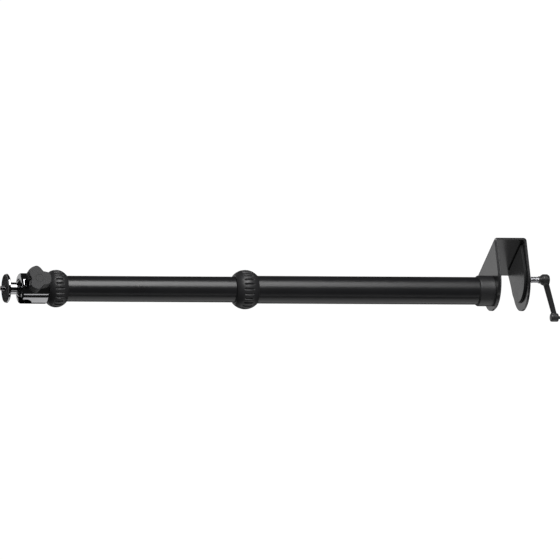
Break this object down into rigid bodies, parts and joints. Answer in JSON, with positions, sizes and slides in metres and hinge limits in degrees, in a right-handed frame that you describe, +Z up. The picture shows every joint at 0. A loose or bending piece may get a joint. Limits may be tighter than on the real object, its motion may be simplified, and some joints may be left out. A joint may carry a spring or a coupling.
{
  "type": "telescopic desk clamp mounting pole",
  "caption": "Telescopic round pole on a screw desk clamp, with twist locks and a ball head that carries a quarter inch camera screw.",
  "frame": {"origin": "the point on the pole's axis where the upper jaw's pad rests on the desk", "axes": "+Z up along the pole to the ball head, the clamp's jaws open toward -Y and its web is on the +Y side"},
  "size_m": [0.0862, 0.0806, 0.7378],
  "materials": {
    "bracket_paint": "smooth satin black paint",
    "tube_paint": "smooth satin black",
    "collar_paint": "satin black",
    "pad_rubber": "matte black",
    "jaw_pad": "smooth satin black",
    "grip_plastic": "fine moulded grain",
    "knob_plastic": "moulded dark grey",
    "lever_plastic": "satin black moulding",
    "nylon": "natural nylon",
    "black_oxide": "black oxide steel",
    "zinc_steel": "bright zinc plate",
    "cast_alloy": "turned aluminium",
    "chrome": "polished chrome plate",
    "brass": "turned brass"
  },
  "bodies": {
    "clamp_base": {"clamp_bracket": "bracket_paint", "desk_pad": "pad_rubber", "screw_nut": "bracket_paint", "pole_collar": "collar_paint", "base_plug": "cast_alloy", "base_bolt": "black_oxide", "outer_tube": "tube_paint", "lower_lock_sleeve": "grip_plastic"},
    "lower_ring": {"lower_lock_ring": "grip_plastic"},
    "lower_collet": {"lower_collet": "nylon"},
    "middle_section": {"middle_tube": "tube_paint", "middle_guide_bush": "nylon", "upper_lock_sleeve": "grip_plastic"},
    "upper_ring": {"upper_lock_ring": "grip_plastic"},
    "upper_collet": {"upper_collet": "nylon"},
    "top_section": {"inner_tube": "tube_paint", "inner_guide_bush": "nylon", "head_plug": "cast_alloy", "head_stud": "zinc_steel", "ball_housing": "chrome", "ball_seat": "nylon", "brake_shoe": "brass"},
    "knob": {"knob": "knob_plastic", "knob_screw": "zinc_steel", "knob_cap": "knob_plastic"},
    "ball": {"ball_stem": "chrome"},
    "platform": {"camera_platform": "chrome", "platform_rubber": "pad_rubber", "camera_screw": "chrome"},
    "pressure_jaw": {"pressure_plate": "bracket_paint", "pressure_pad": "jaw_pad"},
    "screw": {"clamp_screw": "zinc_steel", "swivel_clip": "zinc_steel", "lever_hub": "lever_plastic", "lever_arm": "lever_plastic", "lever_end_pin": "lever_plastic", "lever_screw": "zinc_steel"}
  },
  "joints": [
    {"name": "lower_ring_turn", "type": "hinge", "parent": "clamp_base", "child": "lower_ring", "pos_m": [0, 0, 0.3292], "axis": [0, 0, 1], "range_deg": [0, 120]},
    {"name": "middle_turn", "type": "hinge", "parent": "clamp_base", "child": "lower_collet", "pos_m": [0, 0, 0.3332], "axis": [0, 0, 1], "continuous": true},
    {"name": "middle_slide", "type": "slide", "parent": "lower_collet", "child": "middle_section", "axis": [0, 0, 1], "range_m": [-0.21, 0.045]},
    {"name": "upper_ring_turn", "type": "hinge", "parent": "middle_section", "child": "upper_ring", "pos_m": [0, 0, 0.5757], "axis": [0, 0, 1], "range_deg": [0, 120]},
    {"name": "top_turn", "type": "hinge", "parent": "middle_section", "child": "upper_collet", "pos_m": [0, 0, 0.5797], "axis": [0, 0, 1], "continuous": true},
    {"name": "top_slide", "type": "slide", "parent": "upper_collet", "child": "top_section", "axis": [0, 0, 1], "range_m": [0, 0.25]},
    {"name": "knob_turn", "type": "hinge", "parent": "top_section", "child": "knob", "pos_m": [0, 0, 0.606], "axis": [0.9781, -0.2079, 0], "range_deg": [0, 360]},
    {"name": "ball_tilt", "type": "hinge", "parent": "top_section", "child": "ball", "pos_m": [0, 0, 0.6169], "axis": [0.9781, -0.2079, 0], "range_deg": [-22, 90]},
    {"name": "platform_turn", "type": "hinge", "parent": "ball", "child": "platform", "pos_m": [0, 0, 0.6378], "axis": [0, 0, 1], "continuous": true},
    {"name": "jaw_slide", "type": "slide", "parent": "clamp_base", "child": "pressure_jaw", "axis": [0, 0, 1], "range_m": [0, 0.016]},
    {"name": "screw_turn", "type": "hinge", "parent": "pressure_jaw", "child": "screw", "pos_m": [0, 0.017, -0.05], "axis": [0, 0, 1], "range_deg": [0, 4610]}
  ],
  "couplings": [
    {"joint": "screw_turn", "follows": "jaw_slide", "rad_per_m": 5026.5}
  ]
}
